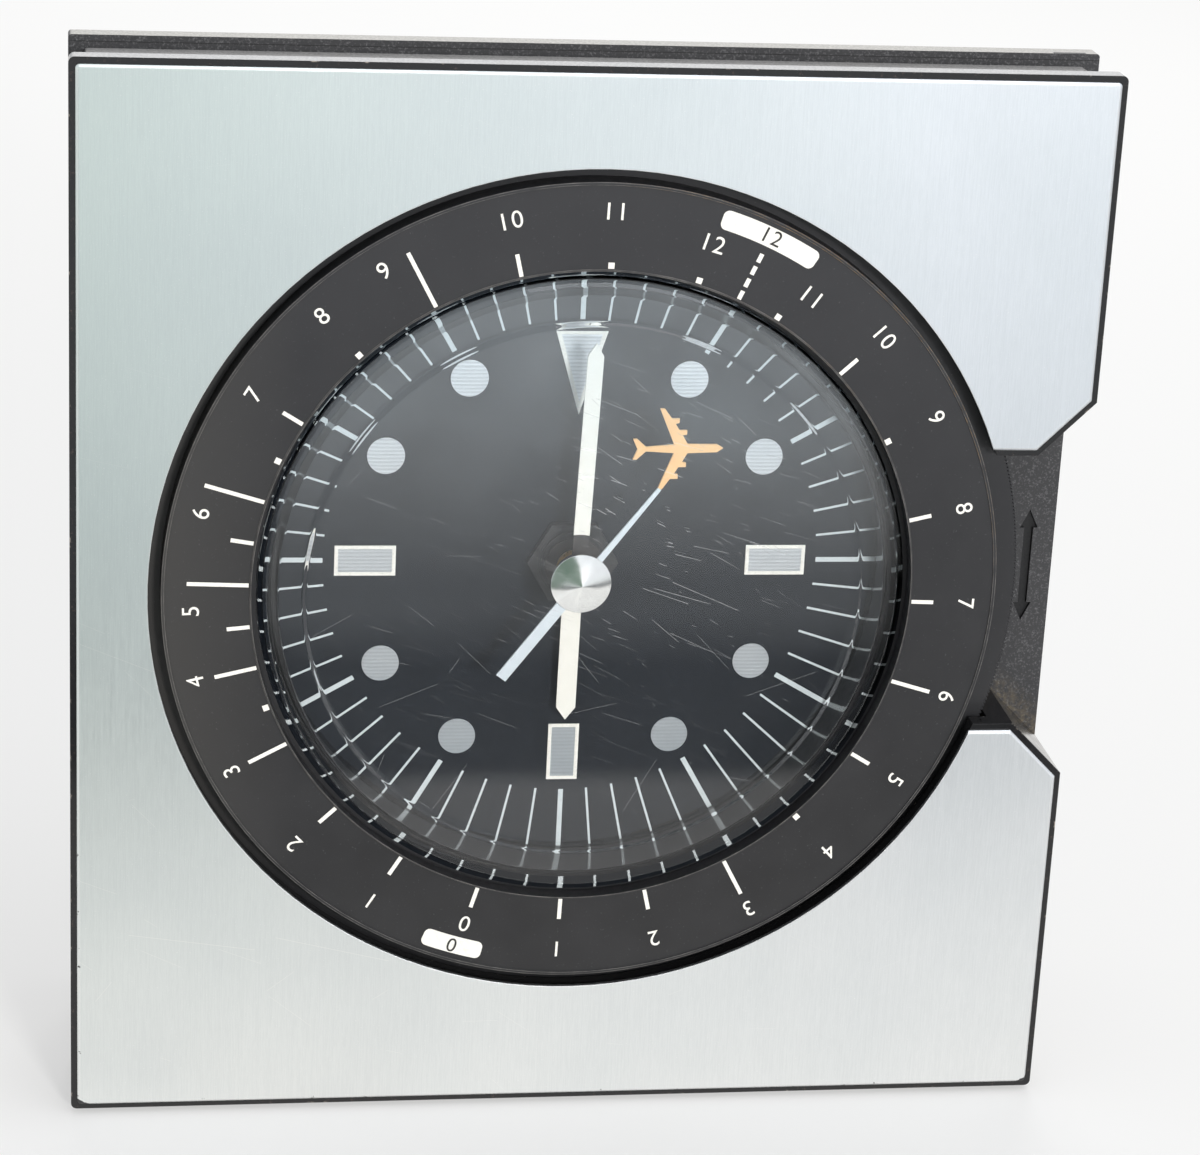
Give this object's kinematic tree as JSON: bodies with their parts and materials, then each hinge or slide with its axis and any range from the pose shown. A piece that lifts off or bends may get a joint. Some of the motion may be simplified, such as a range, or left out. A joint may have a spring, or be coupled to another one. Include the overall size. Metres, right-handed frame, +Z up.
{
  "type": "world time clock",
  "caption": "Upright square desk clock with a turning time zone ring round a deep dial, quartz hands and a tapered rear case with a battery door.",
  "frame": {"origin": "centre of the overall box, at the level the feet stand on", "axes": "+Z up, +X to the right of a viewer facing the dial, -Y out of the dial towards the viewer"},
  "size_m": [0.15, 0.0518, 0.1624],
  "materials": {
    "fascia_metal": "brushed, clear lacquer, worn edges",
    "frame_black": "polished black moulding",
    "ring_black": "satin black with white printed ticks",
    "crystal_clear": "clear moulded crystal",
    "dial_grey": "matt charcoal paint",
    "mark_silver": "fine lined silver with a white border",
    "hand_white": "satin warm white",
    "airliner_orange": "satin orange",
    "hand_silver": "bright silver",
    "cap_chrome": "polished turned cone",
    "case_grey": "fine textured charcoal",
    "bezel_black": "satin black",
    "movement_plastic": "plain black moulding",
    "gear_brass": "cut brass",
    "magnet_dark": "ground magnet",
    "soft_iron": "plain sheet",
    "copper_wire": "enamelled copper winding",
    "board_green": "coated board",
    "chip_black": "moulded package",
    "can_metal": "drawn can",
    "screw_steel": "plated",
    "contact_steel": "nickel plated strip",
    "battery_jacket": "plain printed jacket",
    "foot_rubber": "soft black",
    "washer_felt": "thin felt",
    "nut_black": "blackened"
  },
  "bodies": {
    "case": {"fascia_plate": "fascia_metal", "front_frame": "frame_black", "friction_washer": "washer_felt", "crystal_bezel": "bezel_black", "crystal": "crystal_clear", "dial": "dial_grey", "hour_marks": "mark_silver", "mounting_nut": "nut_black", "movement_plate": "movement_plastic", "movement_cover": "movement_plastic", "movement_screws": "screw_steel", "train_bridge": "soft_iron", "stator": "soft_iron", "coil_core": "soft_iron", "coil": "copper_wire", "circuit_board": "board_green", "driver_chip": "chip_black", "quartz_can": "can_metal", "rear_case": "case_grey", "back_cover": "case_grey", "battery": "battery_jacket", "positive_contact": "contact_steel", "negative_contact": "contact_steel", "frame_screws": "screw_steel", "cover_screws": "screw_steel", "bezel_screws": "screw_steel", "front_feet": "foot_rubber", "rear_feet": "foot_rubber"},
    "zone_ring": {"zone_ring": "ring_black"},
    "hour_hand": {"hour_hand": "hand_white", "hour_wheel": "gear_brass"},
    "minute_hand": {"minute_hand": "hand_white", "minute_arbor": "gear_brass"},
    "second_hand": {"second_hand": "hand_silver", "second_hand_airliner": "airliner_orange", "hand_cap": "cap_chrome", "second_wheel": "gear_brass"},
    "minute_wheel": {"minute_wheel": "gear_brass"},
    "third_wheel": {"third_wheel": "gear_brass"},
    "centre_wheel": {"centre_wheel": "gear_brass"},
    "idler_wheel": {"idler_wheel": "gear_brass"},
    "rotor": {"rotor": "magnet_dark"},
    "setting_knob": {"setting_stem": "soft_iron", "setting_knob": "movement_plastic"},
    "battery_door": {"battery_door": "case_grey"}
  },
  "joints": [
    {"name": "zone_ring_turn", "type": "hinge", "parent": "case", "child": "zone_ring", "pos_m": [0, 0, 0.084], "axis": [0, 1, 0], "continuous": true},
    {"name": "hour_hand_turn", "type": "hinge", "parent": "case", "child": "hour_hand", "pos_m": [0, 0, 0.084], "axis": [0, 1, 0], "continuous": true},
    {"name": "minute_hand_turn", "type": "hinge", "parent": "case", "child": "minute_hand", "pos_m": [0, 0, 0.084], "axis": [0, 1, 0], "continuous": true},
    {"name": "second_hand_turn", "type": "hinge", "parent": "case", "child": "second_hand", "pos_m": [0, 0, 0.084], "axis": [0, 1, 0], "continuous": true},
    {"name": "minute_wheel_turn", "type": "hinge", "parent": "case", "child": "minute_wheel", "pos_m": [0, 0, 0.072], "axis": [0, 1, 0], "continuous": true},
    {"name": "third_wheel_turn", "type": "hinge", "parent": "case", "child": "third_wheel", "pos_m": [-0.01031, 0, 0.08995], "axis": [0, 1, 0], "continuous": true},
    {"name": "centre_wheel_turn", "type": "hinge", "parent": "case", "child": "centre_wheel", "pos_m": [0, 0, 0.084], "axis": [0, 1, 0], "continuous": true},
    {"name": "idler_wheel_turn", "type": "hinge", "parent": "case", "child": "idler_wheel", "pos_m": [0.00831, 0, 0.0888], "axis": [0, 1, 0], "continuous": true},
    {"name": "rotor_turn", "type": "hinge", "parent": "case", "child": "rotor", "pos_m": [0.01321, 0, 0.09729], "axis": [0, 1, 0], "continuous": true},
    {"name": "setting_knob_turn", "type": "hinge", "parent": "case", "child": "setting_knob", "pos_m": [0.01104, 0, 0.06563], "axis": [0, 1, 0], "continuous": true},
    {"name": "battery_door_slide", "type": "slide", "parent": "case", "child": "battery_door", "axis": [0, 1, 0], "range_m": [0, 0.02]}
  ],
  "couplings": [
    {"joint": "minute_wheel_turn", "follows": "minute_hand_turn", "ratio": -0.33333},
    {"joint": "hour_hand_turn", "follows": "minute_hand_turn", "ratio": 0.083333},
    {"joint": "setting_knob_turn", "follows": "minute_hand_turn", "ratio": 0.8},
    {"joint": "third_wheel_turn", "follows": "second_hand_turn", "ratio": -0.125},
    {"joint": "centre_wheel_turn", "follows": "second_hand_turn", "ratio": 0.016667},
    {"joint": "idler_wheel_turn", "follows": "second_hand_turn", "ratio": -5},
    {"joint": "rotor_turn", "follows": "second_hand_turn", "ratio": 30}
  ]
}
